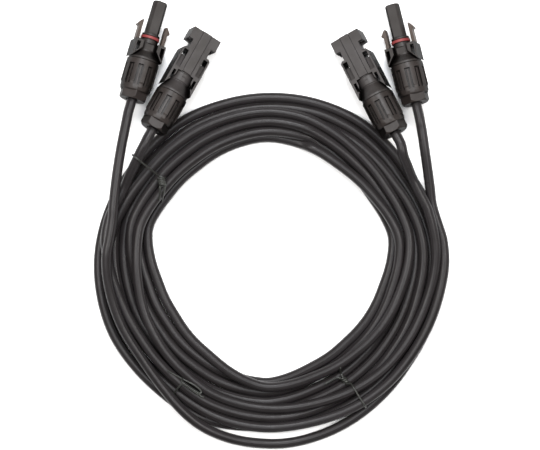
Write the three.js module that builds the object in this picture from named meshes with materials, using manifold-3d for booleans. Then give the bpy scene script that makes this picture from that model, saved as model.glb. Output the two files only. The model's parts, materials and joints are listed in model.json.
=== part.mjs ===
// A pair of photovoltaic extension leads, coiled together, with a locking connector on every end.
// Each lead has a slim connector (socket contact, two latches) on one end and a sleeve connector
// (pin contact) on the other. Millimetres, +Z up: the coil lies flat on z = 0, the connectors
// point towards +Y. Every connector is drawn along its own +Y axis from the rear of its gland
// nut, with its wings along X and its flat faces along Z, and is then laid in its place.

import * as THREE from 'three';
import { mergeVertices } from 'three/addons/utils/BufferGeometryUtils.js';
import Module from 'manifold-3d';

const wasm = await Module();
wasm.setup();

// ---------- driving dimensions ----------

const GAP = 0.3; // between pieces that touch
const ROUND = 20; // sides of a turned plastic piece
const SMALL_ROUND = 12; // sides of a small turned piece

const CABLE = { radius: 3, clear: 0.35, end: 20.8, straight: 8, conductor: 1.2, conductorEnd: 27 };

// gland nut: stations run along the connector from the nut's rear face
const NUT = {
  acrossFlats: 15, hexEnd: 5.2, radius: 9.85, front: 24, mouth: 3.6, thread: 8.3,
  flutes: 10, fluteWidth: 2.7, fluteDepth: 0.9, fluteFrom: 7.4, fluteTo: 20.7,
  fluteShift: -10.5, // degrees from a corner of the hexagon to the nearest flute
};

// rear of both housings: threaded spigot inside the nut, seal seat, contact bore
const SPIGOT = { start: 13, radius: 8, seat: 6, seatEnd: 21.5, bore: 3.5 };
const COLLAR = { start: 24.3, radius: 9.2 };

const WING = { half: 6.6, edge: 0.4 }; // half thickness of the flat faces, and their edge chamfer

const SLIM = {
  length: 62, halfWidth: 9.5, wingTop: 35.8, barrel: 5.25, barrelEnd: 37.4,
  nose: 4.4, noseFlat: 3.8, noseBore: 3, noseStart: 41,
};
const RING = { start: 37.7, end: 39.9, seat: 4.5, radius: 5.75 };
const LATCH = { root: 36.1, inner: 7.2, outer: 9.2, barb: 10.4, barbAt: 44.4, tip: 48.4, half: 2.5 };

const SLEEVE = {
  length: 66, halfWidth: 9.3, barrel: 7.2, cavity: 4.65, cavityStart: 39.6, throat: 5.95, throatStart: 60.5,
  notchFrom: 52.7, notchTo: 58.4, neck: 6.4, neckBehind: 5.3,
};

const CONTACT = { rear: 21.8, barrel: 2.2, barrelBore: 1.5, barrelEnd: 29, body: 2.6, flange: 3.1 };
const PIN = { radius: 2, tip: 55.5 };

// the coil: two layers of cable in a flat ring, centred on x = y = 0 of the layout
const COIL = { height: 12, edge: 2.5, middle: 87 }; // middle: of the band, from the coil's centre
const TIE = { radius: 0.7, clear: 0.6, low: 1.6 };

// where each connector's nut rear lies (x, y), and how it is turned, in degrees:
// yaw from +Y towards -X, pitch with the mating end down, roll about its own axis; nutTurn is how
// far its gland nut is turned from having a corner of the hexagon on top
const CONNECTORS = [
  { name: 'left_slim', kind: 'slim', at: [-82.4, 96.9],
    yaw: -15.7, pitch: -8.5, roll: 20, nutTurn: -7.3 },
  { name: 'left_sleeve', kind: 'sleeve', at: [-69.6, 79.0],
    yaw: -28.3, pitch: -12, roll: 15, nutTurn: 138.5 },
  { name: 'right_slim', kind: 'slim', at: [87.2, 94.6],
    yaw: 13.1, pitch: -8.5, roll: -20, nutTurn: -120 },
  { name: 'right_sleeve', kind: 'sleeve', at: [74.3, 76.7],
    yaw: 26.1, pitch: -12, roll: -15, nutTurn: -20.4 },
];

// how each cable goes on from its straight exit until it joins the coil (x, y, z)
const TAIL_ROUTES = {
  left_slim: [[-86.6, 80.5, 16.8], [-88.6, 70, 17.4], [-90.8, 58, 17.2], [-92.6, 46, 16.4],
    [-94.2, 31, 15.6]],
  left_sleeve: [[-76.6, 66.3, 24], [-80, 60.8, 22.6], [-83.2, 56.2, 20.4], [-86.2, 51.5, 18.2]],
  right_slim: [[90.6, 78, 16.8], [92.2, 67, 17.4], [94, 55, 17], [95.6, 43.5, 16.2], [97, 33, 15.6]],
  right_sleeve: [[80.3, 64.6, 24], [83, 59.5, 22.6], [85.4, 54.8, 20.4], [87.6, 50.2, 18.2]],
};

// the band that the coil's turns fill, seen from above: its outer and inner edge
const COIL_OUTER = [
  [0, 101.6], [30, 97.6], [58, 84.6], [85, 55], [98.4, 32.4], [105.6, 4], [102.6, -21.6], [94, -47],
  [76, -73], [57.6, -92.4], [24, -107.7], [-6, -111.5], [-51.6, -98], [-69.6, -83.4], [-83, -65.4],
  [-97, -45], [-105.6, 4.2], [-100.5, 28], [-82.8, 59.7], [-54, 87], [-30, 97],
];
const COIL_INNER = [
  [-1.2, 72.6], [-42, 55.2], [-60, 37.2], [-71.2, 20], [-64.8, -10.8], [-54.6, -31.2], [-36, -52.8],
  [-3, -68.5], [24, -60], [43.2, -46.8], [65.7, -13.8], [71.8, 14], [58.2, 37.2], [42, 54],
];

// wire ties round the coil: direction from the coil's centre (degrees), inner and outer radius
// of the loop, and how far out the twisted ends stand
const TIES = [
  { name: 'wire_tie_upper_left', angle: 141.8, inner: 67, outer: 104.5, knot: 80 },
  { name: 'wire_tie_lower_right', angle: -56.7, inner: 61, outer: 111, knot: 86 },
  { name: 'wire_tie_lower_left', angle: -126.5, inner: 60.5, outer: 112.5, knot: 84 },
];

// ---------- materials ----------

const finish = (color, roughness, metalness = 0) =>
  () => new THREE.MeshStandardMaterial({ color, roughness, metalness });
const HOUSING_PLASTIC = finish(0x4a4748, 0.5);
const NUT_PLASTIC = finish(0x454242, 0.55);
const JACKET = finish(0x232124, 0.4);
const RED_SEAL = finish(0xb8474a, 0.5);
const GLAND_RUBBER = finish(0x1e1e1f, 0.8);
const CLAW_PLASTIC = finish(0x2e2d2e, 0.6);
const TINNED_COPPER = finish(0xb9b6ae, 0.35, 1);
const SPRING_STEEL = finish(0xa9abae, 0.3, 1);
const TIE_PLASTIC = finish(0x1b1b1c, 0.5);

// ---------- solids ----------

// a closed geometry as a solid that can be cut and joined, with its faces turned outwards
function solid(geometry) {
  const bare = geometry.clone();
  bare.deleteAttribute('normal');
  bare.deleteAttribute('uv');
  const merged = mergeVertices(bare, 1e-4);
  const place = merged.attributes.position.array;
  const corner = (i) => new THREE.Vector3().fromArray(place, 3 * i);
  const faces = [];
  let volume = 0;
  for (let i = 0; i < merged.index.count; i += 3) {
    const [a, b, c] = merged.index.array.slice(i, i + 3);
    if (a === b || b === c || c === a) continue;
    faces.push([a, b, c]);
    volume += corner(a).dot(corner(b).cross(corner(c)));
  }
  const triVerts = new Uint32Array(faces.flatMap(([a, b, c]) => (volume > 0 ? [a, b, c] : [a, c, b])));
  const mesh = new wasm.Mesh({ numProp: 3, vertProperties: new Float32Array(place), triVerts });
  return new wasm.Manifold(mesh);
}

function geometryOf(body) {
  const { vertProperties, triVerts } = body.getMesh();
  const geometry = new THREE.BufferGeometry();
  geometry.setAttribute('position', new THREE.BufferAttribute(vertProperties, 3));
  geometry.setIndex(new THREE.BufferAttribute(triVerts, 1));
  return geometry;
}

// a turned piece about Y: the profile is a closed loop of [radius, station]
function turned(profile, sides = ROUND) {
  const points = [...profile, profile[0]].map(([r, y]) => new THREE.Vector2(r, y));
  return solid(new THREE.LatheGeometry(points, sides));
}

// a round bar along Y between two stations
const bar = (radius, from, to, sides = ROUND) =>
  turned([[0, from], [radius, from], [radius, to], [0, to]], sides);

// a box between two corners
function block([x0, y0, z0], [x1, y1, z1]) {
  const box = new THREE.BoxGeometry(x1 - x0, y1 - y0, z1 - z0);
  return solid(box.translate((x0 + x1) / 2, (y0 + y1) / 2, (z0 + z1) / 2));
}

const flipX = ([x, y]) => [-x, y];

// a flat plate of the given outline, between two heights, with chamfered edges
function plate(outline, z0, z1, edge = 0) {
  const shape = new THREE.Shape(outline.map(([x, y]) => new THREE.Vector2(x, y)));
  const extruded = new THREE.ExtrudeGeometry(shape, {
    depth: z1 - z0 - 2 * edge, bevelEnabled: edge > 0,
    bevelThickness: edge, bevelSize: edge, bevelOffset: -edge, bevelSegments: 1,
  });
  return solid(extruded.translate(0, 0, z0 + edge));
}

const cutAll = (body, cutters) => cutters.reduce((rest, cutter) => rest.subtract(cutter), body);
const joinAll = (bodies) => bodies.reduce((whole, body) => whole.add(body));

// boxes mirrored to both sides of the connector
function bothSides([x0, y0, z0], [x1, y1, z1]) {
  return [block([x0, y0, z0], [x1, y1, z1]), block([-x1, y0, z0], [-x0, y1, z1])];
}

// a round bar swept along a curve
function swept(points, radius, sides, steps) {
  const section = new THREE.Shape(Array.from({ length: sides }, (_, i) => {
    const turn = (2 * Math.PI * i) / sides;
    return new THREE.Vector2(radius * Math.cos(turn), radius * Math.sin(turn));
  }));
  const path = new THREE.CatmullRomCurve3(points, false, 'centripetal');
  return new THREE.ExtrudeGeometry(section, { steps, extrudePath: path, bevelEnabled: false });
}

// ---------- gland: nut, claw, seal ----------

function nut() {
  const corner = NUT.acrossFlats / Math.sqrt(3);
  const rearChamfer = 1.8;
  const shoulder = 1.6;
  const coneEnd = 8.2;
  const blank = turned([
    [NUT.mouth, 0], [corner - rearChamfer, 0], [corner, rearChamfer], [corner, NUT.hexEnd],
    [NUT.radius, NUT.hexEnd + shoulder], [NUT.radius, NUT.front - 0.5], [NUT.radius - 0.5, NUT.front],
    [NUT.thread, NUT.front], [NUT.thread, coneEnd], [NUT.mouth, coneEnd - (NUT.thread - NUT.mouth)],
  ]);
  const hex = solid(new THREE.CylinderGeometry(corner, corner, 2 * NUT.hexEnd, 6));
  const aroundHex = bar(2 * NUT.radius, -1, NUT.hexEnd).subtract(hex);
  const flutes = Array.from({ length: NUT.flutes }, (_, i) => {
    const floor = NUT.radius - NUT.fluteDepth;
    const length = NUT.fluteTo - NUT.fluteFrom;
    const groove = new THREE.BoxGeometry(NUT.fluteWidth, length, 2);
    groove.translate(0, (NUT.fluteFrom + NUT.fluteTo) / 2, floor + 1);
    const turn = (2 * Math.PI * i) / NUT.flutes + THREE.MathUtils.degToRad(NUT.fluteShift);
    return solid(groove.rotateY(turn));
  });
  return cutAll(blank, [aroundHex, ...flutes]);
}

function claw() {
  const bore = CABLE.radius + CABLE.clear;
  const ring = turned([[bore, 4.6], [4.1, 4.6], [7.5, 8.6], [7.5, 12.6], [bore, 12.6]], SMALL_ROUND);
  const fingers = 6;
  const slots = Array.from({ length: fingers / 2 }, (_, i) => {
    const slot = new THREE.BoxGeometry(20, 6, 1).translate(0, 7, 0);
    return solid(slot.rotateY((Math.PI * i) / (fingers / 2)));
  });
  return cutAll(ring, slots);
}

function glandSeal() {
  const bore = CABLE.radius + CABLE.clear;
  const outer = SPIGOT.seat - GAP;
  return turned([
    [bore, 13.2], [outer, 13.8], [outer, 15.6], [outer - 0.5, 16.2], [outer - 0.5, 17.2], [outer, 17.8],
    [outer, 20], [bore, 20.5],
  ], SMALL_ROUND);
}

// ---------- housings ----------

// the hollow that both housings share: seal seat, then the contact's bore
function rearHollow(boreEnd) {
  return turned([
    [0, SPIGOT.start - 1], [SPIGOT.seat, SPIGOT.start - 1], [SPIGOT.seat, SPIGOT.seatEnd],
    [SPIGOT.bore, SPIGOT.seatEnd], [SPIGOT.bore, boreEnd], [0, boreEnd],
  ]);
}

// the spigot and the concave cone in front of the nut, ending at the given neck
function rearProfile(neck, neckAt) {
  const cone = 1.2;
  return [
    [0, SPIGOT.start], [SPIGOT.radius - GAP, SPIGOT.start], [SPIGOT.radius, SPIGOT.start + GAP],
    [SPIGOT.radius, COLLAR.start], [COLLAR.radius, COLLAR.start], [COLLAR.radius, COLLAR.start + cone],
    [(COLLAR.radius + neck) / 2 - 0.5, neckAt - 1.8], [neck, neckAt],
  ];
}

function slimHousing() {
  const body = turned([
    ...rearProfile(SLIM.barrel, 30), [SLIM.barrel, SLIM.barrelEnd], [RING.seat, SLIM.barrelEnd],
    [RING.seat, RING.end + GAP], [RING.seat + 0.5, RING.end + GAP], [RING.seat + 0.5, SLIM.noseStart],
    [SLIM.nose, SLIM.noseStart + 0.4], [SLIM.nose, SLIM.length - 0.6], [SLIM.nose - 0.4, SLIM.length],
    [0, SLIM.length],
  ]);
  const wing = [
    [4.6, 31], [5.4, 30], [8.9, 25.2], [SLIM.halfWidth, 24.8],
    [SLIM.halfWidth, SLIM.wingTop], [4.6, SLIM.wingTop],
  ];
  const wings = [wing, wing.map(flipX).reverse()]
    .map((side) => plate(side, -WING.half, WING.half, WING.edge));
  const windows = bothSides([6.9, 29.4, -8], [8.7, 33.8, 8]);
  const panel = block([-2.6, 31.2, SLIM.barrel - 0.5], [2.6, 34.6, 8]);
  const noseFlats = [SLIM.noseFlat, -SLIM.noseFlat - 2].map((low) =>
    block([-6, SLIM.noseStart + 0.6, low], [6, SLIM.length + 1, low + 2]));
  const noseHollow = bar(SLIM.noseBore, 37, SLIM.length + 1);
  return cutAll(joinAll([body, ...wings]), [rearHollow(38), noseHollow, ...windows, panel, ...noseFlats]);
}

function sleeveHousing() {
  const body = turned([
    ...rearProfile(6.6, 32.2), [7.1, 32.8], [7.1, 37.6], [SLEEVE.barrel, 38], [SLEEVE.barrel, SLEEVE.length],
    [0, SLEEVE.length],
  ]);
  const rightHalf = [
    [5.4, 38], [5.4, 34.6], [8.7, 27.2], [SLEEVE.halfWidth, 26.6],
    [SLEEVE.halfWidth, SLEEVE.notchFrom - 1.3], [SLEEVE.halfWidth - 1.3, SLEEVE.notchFrom],
    [SLEEVE.neck, SLEEVE.notchFrom], [SLEEVE.neck, SLEEVE.notchTo], [SLEEVE.halfWidth, SLEEVE.notchTo],
    [SLEEVE.halfWidth, SLEEVE.length],
  ];
  const outline = [...rightHalf, ...rightHalf.map(flipX).reverse()];
  const wings = plate(outline, -WING.half, WING.half, WING.edge);
  const hollow = turned([
    [0, 38], [SPIGOT.bore, 38], [SPIGOT.bore, SLEEVE.cavityStart], [SLEEVE.cavity, SLEEVE.cavityStart],
    [SLEEVE.cavity, SLEEVE.throatStart - 0.7], [SLEEVE.throat, SLEEVE.throatStart],
    [SLEEVE.throat, SLEEVE.length + 1], [0, SLEEVE.length + 1],
  ]);
  const notches = bothSides([SLEEVE.neck, SLEEVE.notchFrom, -10], [12, SLEEVE.notchTo, 10]);
  const undercuts = bothSides([SLEEVE.neckBehind, SLEEVE.notchFrom, -10], [12, SLEEVE.notchTo, 4.8]);
  const pocketDepth = 1.6;
  const pockets = [
    ...bothSides([5.3, 39.6, WING.half - pocketDepth], [8.2, 51.2, 10]),
    ...bothSides([5.3, 39.6, -10], [8.2, 51.2, pocketDepth - WING.half]),
    ...bothSides([5.5, 48.3, -10], [8.2, 51.2, 10]),
  ];
  const edgeSlots = bothSides([6.2, 30.8, -10], [7.8, 36.8, 10]);
  const latchWays = bothSides([6.3, SLEEVE.notchTo - 1, -2.9], [8.7, SLEEVE.length + 1, 2.9]);
  return cutAll(joinAll([body, wings]), [
    rearHollow(38.5), hollow, ...notches, ...undercuts, ...pockets, ...edgeSlots, ...latchWays,
  ]);
}

// ---------- what the housings hold ----------

function latch(side) {
  const outline = [
    [LATCH.inner, LATCH.root], [LATCH.outer, LATCH.root], [LATCH.outer, LATCH.barbAt - 0.5],
    [LATCH.barb, LATCH.barbAt], [LATCH.barb, LATCH.barbAt + 0.8], [LATCH.inner + 1.2, LATCH.tip],
    [LATCH.inner, LATCH.tip],
  ];
  return plate(side > 0 ? outline : outline.map(flipX).reverse(), -LATCH.half, LATCH.half, 0.25);
}

const sealRing = () => turned([
  [RING.seat + GAP, RING.start + 0.3], [RING.radius - 0.5, RING.start], [RING.radius, RING.start + 0.6],
  [RING.radius, RING.end - 0.6], [RING.radius - 0.5, RING.end], [RING.seat + GAP, RING.end - 0.3],
]);

// crimp barrel and body, shared by both contacts, up to the given station
const contactBody = (front) => [
  [0, CABLE.conductorEnd + GAP], [CONTACT.barrelBore, CABLE.conductorEnd + GAP],
  [CONTACT.barrelBore, CONTACT.rear], [CONTACT.barrel, CONTACT.rear], [CONTACT.barrel, CONTACT.barrelEnd],
  [CONTACT.body, CONTACT.barrelEnd + 0.4], [CONTACT.body, 31], [CONTACT.flange, 31], [CONTACT.flange, 32.2],
  [CONTACT.body, 32.2], [CONTACT.body, front],
];

const socketContact = () => turned([
  ...contactBody(58.5), [PIN.radius + 0.05, 58.5], [PIN.radius + 0.05, 40], [0, 40],
], SMALL_ROUND);

const pinContact = () => turned([
  ...contactBody(38), [PIN.radius, 38.5], [PIN.radius, PIN.tip - 1.2], [PIN.radius - 0.6, PIN.tip - 0.3],
  [PIN.radius - 1.3, PIN.tip], [0, PIN.tip],
], SMALL_ROUND);

// the split spring that locks the contact in its bore
function contactSpring() {
  const ring = turned([[2.75, 33], [3.2, 33.6], [3.2, 35.4], [2.75, 36]], SMALL_ROUND);
  return ring.subtract(block([-0.5, 32, 0], [0.5, 37, 5]));
}

const conductor = () => bar(CABLE.conductor, CABLE.end + GAP, CABLE.conductorEnd, 8);

// ---------- assembly ----------

const leads = new THREE.Group();
const connectorBox = new THREE.Box3();

function addPiece(parent, name, geometry, material) {
  const mesh = new THREE.Mesh(geometry, material());
  mesh.name = name;
  parent.add(mesh);
}

const PIECES = {
  slim: [
    ['housing', slimHousing, HOUSING_PLASTIC],
    ['latch_left', () => latch(-1), HOUSING_PLASTIC],
    ['latch_right', () => latch(1), HOUSING_PLASTIC],
    ['seal_ring', sealRing, RED_SEAL],
    ['socket_contact', socketContact, TINNED_COPPER],
  ],
  sleeve: [
    ['housing', sleeveHousing, HOUSING_PLASTIC],
    ['pin_contact', pinContact, TINNED_COPPER],
  ],
  both: [
    ['contact_spring', contactSpring, SPRING_STEEL],
    ['conductor', conductor, TINNED_COPPER],
    ['gland_seal', glandSeal, GLAND_RUBBER],
    ['gland_claw', claw, CLAW_PLASTIC],
  ],
};

for (const { name, kind, at, yaw, pitch, roll, nutTurn } of CONNECTORS) {
  const connector = new THREE.Group();
  const angles = [pitch, roll, yaw, nutTurn].map(THREE.MathUtils.degToRad);
  connector.rotation.set(...angles.slice(0, 3), 'ZXY');
  for (const [piece, make, material] of [...PIECES[kind], ...PIECES.both]) {
    addPiece(connector, `${name}_${piece}`, geometryOf(make()), material);
  }
  addPiece(connector, `${name}_gland_nut`, geometryOf(nut()).rotateY(angles[3]), NUT_PLASTIC);
  connector.updateMatrixWorld(true);
  const lowest = new THREE.Box3().setFromObject(connector, true).min.z;
  connector.position.set(at[0], at[1], -lowest);
  leads.add(connector);

  connector.updateMatrixWorld(true);
  connectorBox.expandByObject(connector, true);

  // the cable leaves along the connector's axis before it bends towards the coil
  const onAxis = (station) => connector.localToWorld(new THREE.Vector3(0, station, 0));
  const route = [CABLE.end, 8, 0, -CABLE.straight / 2, -CABLE.straight].map(onAxis);
  route.push(...TAIL_ROUTES[name].map((point) => new THREE.Vector3(...point)));
  addPiece(leads, `${name}_cable`, swept(route, CABLE.radius, 8, 14), JACKET);
}

// a closed band edge as a smooth curve through its points
const smooth = (points, count) =>
  new THREE.CatmullRomCurve3(points.map(([x, y]) => new THREE.Vector3(x, y, 0)), true, 'centripetal')
    .getPoints(count).slice(0, -1).map(({ x, y }) => new THREE.Vector2(x, y));

function coil() {
  const band = new THREE.Shape(smooth(COIL_OUTER, 48));
  band.holes.push(new THREE.Path(smooth(COIL_INNER, 36)));
  const ring = new THREE.ExtrudeGeometry(band, {
    depth: COIL.height - 2 * COIL.edge, bevelEnabled: true,
    bevelThickness: COIL.edge, bevelSize: COIL.edge, bevelOffset: -COIL.edge, bevelSegments: 1,
  });
  const underTies = TIES.map(({ angle }) => {
    const groove = new THREE.BoxGeometry(60, 3, 2 * (TIE.low + TIE.radius + 1));
    groove.translate(COIL.middle, 0, 0);
    return solid(groove.rotateZ(THREE.MathUtils.degToRad(angle)));
  });
  return cutAll(solid(ring.translate(0, 0, COIL.edge)), underTies);
}

// one wire: up from the first twisted end, round the band, and back up beside it
function tieWire({ angle, inner, outer, knot }) {
  const top = COIL.height + TIE.clear + TIE.radius;
  const low = TIE.low;
  const rise = 2;
  const apart = 1.1;
  const loop = [
    [knot - 8, apart + 2.4, top + rise], [knot - 4, apart + 1.2, top + 0.8], [knot, apart, top],
    [knot + 6, 0.2, top], [outer - 4, 0, top], [outer, 0, top - 4], [outer, 0, low + 4], [outer - 4, 0, low],
    [(inner + outer) / 2, 0, low], [inner + 4, 0, low], [inner, 0, low + 4], [inner, 0, top - 4],
    [inner + 4, 0, top], [knot - 7, -0.2, top], [knot - 1, -apart, top], [knot - 5, -apart - 1.6, top + 0.8],
    [knot - 9, -apart - 3, top + rise],
  ];
  const turn = THREE.MathUtils.degToRad(angle);
  const out = new THREE.Vector3(Math.cos(turn), Math.sin(turn), 0);
  const along = new THREE.Vector3(-out.y, out.x, 0);
  const points = loop.map(([r, side, z]) =>
    new THREE.Vector3(0, 0, z).addScaledVector(out, r).addScaledVector(along, side));
  return swept(points, TIE.radius, 6, 40);
}

addPiece(leads, 'cable_coil', geometryOf(coil()), JACKET);
for (const tie of TIES) {
  addPiece(leads, tie.name, tieWire(tie), TIE_PLASTIC);
}

// the origin lies on the floor, below the middle of the four connectors
const centre = connectorBox.getCenter(new THREE.Vector3());
leads.position.set(-centre.x, -centre.y, 0);

export default leads;
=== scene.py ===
"""Two photovoltaic extension leads in one coil, with a locking connector on each of their ends.

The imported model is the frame: it says where the connectors lie and what moves. This script lays
the two cables turn by turn and lets them settle on each other, winds the wire ties round them,
and makes the fine mouldings and the finishes. Places are in metres, in the frame of the model; a
connector is drawn in its own millimetres, from the rear of its gland nut towards +Y.
"""

import json
import math

import bmesh
import bpy
import numpy as np
from mathutils import Matrix, Vector


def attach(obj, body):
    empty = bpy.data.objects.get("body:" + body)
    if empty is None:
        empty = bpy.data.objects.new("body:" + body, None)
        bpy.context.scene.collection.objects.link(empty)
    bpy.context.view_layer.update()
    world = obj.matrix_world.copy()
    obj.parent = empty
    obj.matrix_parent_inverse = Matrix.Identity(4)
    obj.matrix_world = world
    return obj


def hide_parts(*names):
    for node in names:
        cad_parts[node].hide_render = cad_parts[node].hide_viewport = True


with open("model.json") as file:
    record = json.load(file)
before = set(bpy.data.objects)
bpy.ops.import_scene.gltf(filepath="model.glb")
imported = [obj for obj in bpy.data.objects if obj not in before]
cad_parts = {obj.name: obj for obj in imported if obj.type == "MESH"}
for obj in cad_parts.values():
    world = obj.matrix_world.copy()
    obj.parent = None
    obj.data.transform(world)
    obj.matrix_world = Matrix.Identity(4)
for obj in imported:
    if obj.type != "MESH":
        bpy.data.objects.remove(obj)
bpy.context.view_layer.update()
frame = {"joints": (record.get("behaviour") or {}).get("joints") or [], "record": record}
scene = bpy.context.scene
joints = {joint["name"]: joint for joint in frame["joints"]}

MM = 0.001

# how each connector is turned, in degrees: yaw from +Y towards -X, pitch, roll about its own axis
TURNED = {
    "left_slim": (-15.7, -8.5, 20),
    "left_sleeve": (-28.3, -12, 15),
    "right_slim": (13.1, -8.5, -20),
    "right_sleeve": (26.1, -12, -15),
}
LEFT_SLIM_FROM_COIL = Vector((-0.0824, 0.0969, 0))


def add_object(name, data):
    thing = bpy.data.objects.new(name, data)
    scene.collection.objects.link(thing)
    return thing


def nut_rear(name):
    """The point on a connector's axis where its cable comes out."""
    return Vector(joints[name + "_nut_turn"]["pos_m"])


def connector_place(name):
    """From a connector's own millimetres to the frame."""
    yaw, pitch, roll = (math.radians(angle) for angle in TURNED[name])
    turn = Matrix.Rotation(yaw, 4, "Z") @ Matrix.Rotation(pitch, 4, "X") @ Matrix.Rotation(roll, 4, "Y")
    return Matrix.Translation(nut_rear(name)) @ turn @ Matrix.Scale(MM, 4)


coil_centre = nut_rear("left_slim") - LEFT_SLIM_FROM_COIL
coil_centre.z = 0
centre = np.array(coil_centre)


# ---------- camera ----------

VIEW_WIDTH = 0.324  # what the picture takes in, at the middle height of the coil
VIEW_AHEAD = 0.0222  # the picture's middle, from the coil's centre towards the connectors
MIDDLE_HEIGHT = 0.008
LENS = 135
SENSOR = 36


def add_camera():
    data = bpy.data.cameras.new("camera")
    data.lens = LENS
    data.sensor_width = SENSOR
    camera = add_object("camera", data)
    height = MIDDLE_HEIGHT + VIEW_WIDTH * LENS / SENSOR
    camera.location = coil_centre + Vector((0, VIEW_AHEAD, height))
    scene.camera = camera


add_camera()


# ---------- the two cables ----------

CABLE_RADIUS = 0.003
CABLE_END = 20.8  # millimetres up the connector where the jacket is cut
CABLE_HELD = 0.012  # this far behind the nut a cable keeps to its planned path
CABLE_STEP = 0.004
TURN_STEP = 2.5  # degrees, in the plan of the turns
MERGING = 1.05  # radians in which a tail moves over into its lane

# from its straight exit until it joins the coil, about the coil's centre
TAIL_ROUTES = {
    "left_slim": [
        (-0.0863, 0.0805, 0.0170), (-0.0884, 0.070, 0.0178), (-0.0904, 0.058, 0.0184),
        (-0.0919, 0.047, 0.0188), (-0.0931, 0.036, 0.0189), (-0.0942, 0.024, 0.0186),
    ],
    "left_sleeve": [
        (-0.0760, 0.0663, 0.024), (-0.0786, 0.0603, 0.0226), (-0.0811, 0.0550, 0.0204),
        (-0.0833, 0.0500, 0.0180), (-0.0857, 0.0440, 0.0156),
    ],
    "right_slim": [
        (0.0906, 0.078, 0.0168), (0.0922, 0.067, 0.0174), (0.094, 0.055, 0.017),
        (0.0956, 0.0435, 0.0162), (0.097, 0.033, 0.0156),
    ],
    "right_sleeve": [
        (0.0788, 0.0646, 0.024), (0.0812, 0.0592, 0.0228), (0.0836, 0.0540, 0.0206),
        (0.0860, 0.0492, 0.0182),
    ],
}
AXIS_STATIONS = [CABLE_END, 8, 0, -4, -8]

# the band that the turns fill, seen from above, without the one loose turn at its near side
BAND_OUTER = [
    (0, 0.1016), (0.030, 0.0976), (0.058, 0.0846), (0.085, 0.055), (0.0984, 0.0324), (0.1056, 0.004),
    (0.1026, -0.0216), (0.094, -0.047), (0.076, -0.073), (0.056, -0.088), (0.024, -0.0995),
    (-0.006, -0.1016), (-0.042, -0.0965), (-0.0675, -0.080), (-0.083, -0.0654), (-0.097, -0.045),
    (-0.1056, 0.0042), (-0.1005, 0.028), (-0.0828, 0.0597), (-0.054, 0.087), (-0.030, 0.097),
]
BAND_INNER = [
    (-0.0012, 0.0726), (-0.042, 0.0552), (-0.060, 0.0372), (-0.0712, 0.020), (-0.0648, -0.0108),
    (-0.0546, -0.0312), (-0.036, -0.0528), (-0.003, -0.0706), (0.024, -0.0605), (0.0432, -0.0468),
    (0.0657, -0.0138), (0.0718, 0.014), (0.0582, 0.0372), (0.042, 0.054),
]
LOOSE = {"at": 270, "reach": 58, "out": 0.0116}  # the loose turn: degrees, degrees, metres

# Each lead goes round four and a half times and more, counter-clockwise from the left side. By
# degrees turned: its lane in the band, from 0 at the inner edge to 1 at the outer, and its height.
LEADS = [
    {
        "name": "lead_a", "ends": ("left_slim", "right_sleeve"), "loose": True,
        "lane": [
            (150, 0.84), (168, 0.8), (188, 0.7), (210, 0.74), (250, 0.94), (300, 1), (540, 1), (720, 0.86),
            (900, 0.68), (1080, 0.47), (1260, 0.22), (1440, 0.03), (1530, 0.1), (1620, 0.33), (1710, 0.62),
            (1800, 0.9), (1840, 1),
        ],
        "height": [
            (150, 0.0186), (190, 0.018), (215, 0.016), (250, 0.011), (300, 0.005), (360, 0.003), (540, 0.003),
            (900, 0.005), (1300, 0.006), (1700, 0.010), (1800, 0.012),
        ],
    },
    {
        "name": "lead_b", "ends": ("left_sleeve", "right_slim"), "loose": False,
        "lane": [
            (150, 0.76), (160, 0.73), (170, 0.65), (180, 0.6), (220, 0.62), (270, 0.7), (450, 0.62),
            (540, 0.58), (720, 0.4), (900, 0.25), (1080, 0.08), (1260, 0), (1350, 0.12), (1440, 0.3),
            (1530, 0.52), (1620, 0.75), (1710, 0.92), (1800, 1), (1840, 1),
        ],
        "height": [
            (150, 0.0145), (175, 0.0118), (200, 0.0105), (300, 0.009), (360, 0.008), (540, 0.007),
            (900, 0.008), (1300, 0.008), (1700, 0.012), (1800, 0.012),
        ],
    },
]
TURNS = 5  # whole turns, the last one cut short by where the tails leave

# Each tie's angle in the coil in degrees, the distances from the centre between which it holds the
# turns, where its knot sits, and the way its twisted part and its free ends lie.
TIES = [
    {
        "name": "wire_tie_upper_left", "angle": 141.8, "held": (0.0785, 0.1025), "knot": 0.082,
        "half_turns": 4, "swell": 2.7,
        "twist": [(-0.0651, 0.0500), (-0.0640, 0.0456)],
        "ends": [[(-0.0656, 0.0410), (-0.0662, 0.0370)], [(-0.0636, 0.0412), (-0.0648, 0.0366)]],
    },
    {
        "name": "wire_tie_lower_right", "angle": -56.7, "held": (0.0835, 0.101), "knot": 0.086,
        "half_turns": 3, "swell": 1.3,
        "twist": [(0.0462, -0.0722), (0.0430, -0.0694)],
        "ends": [[(0.0400, -0.0695), (0.0330, -0.0732)], [(0.0425, -0.0665), (0.0420, -0.0630)]],
    },
    {
        "name": "wire_tie_lower_left", "angle": -126.5, "held": (0.087, 0.1), "knot": 0.0895,
        "half_turns": 10, "swell": 1,
        "twist": [(-0.0520, -0.0722), (-0.0430, -0.0784)],
        "ends": [
            [(-0.0410, -0.0775), (-0.0450, -0.0735), (-0.0530, -0.0695), (-0.0612, -0.0648)],
            [(-0.0415, -0.0800), (-0.0395, -0.0808)],
        ],
    },
]
TIE_RADIUS = 0.0006


def ease(value):
    """0 to 1, with a soft start and a soft end."""
    value = np.clip(value, 0, 1)
    return value * value * (3 - 2 * value)


def softened(values, half, wrap=False):
    """A row of numbers, each averaged with its neighbours."""
    kernel = np.hanning(2 * half + 3)[1:-1]
    padded = np.pad(values, half, "wrap" if wrap else "edge")
    return np.convolve(padded, kernel / kernel.sum(), "valid")


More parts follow.
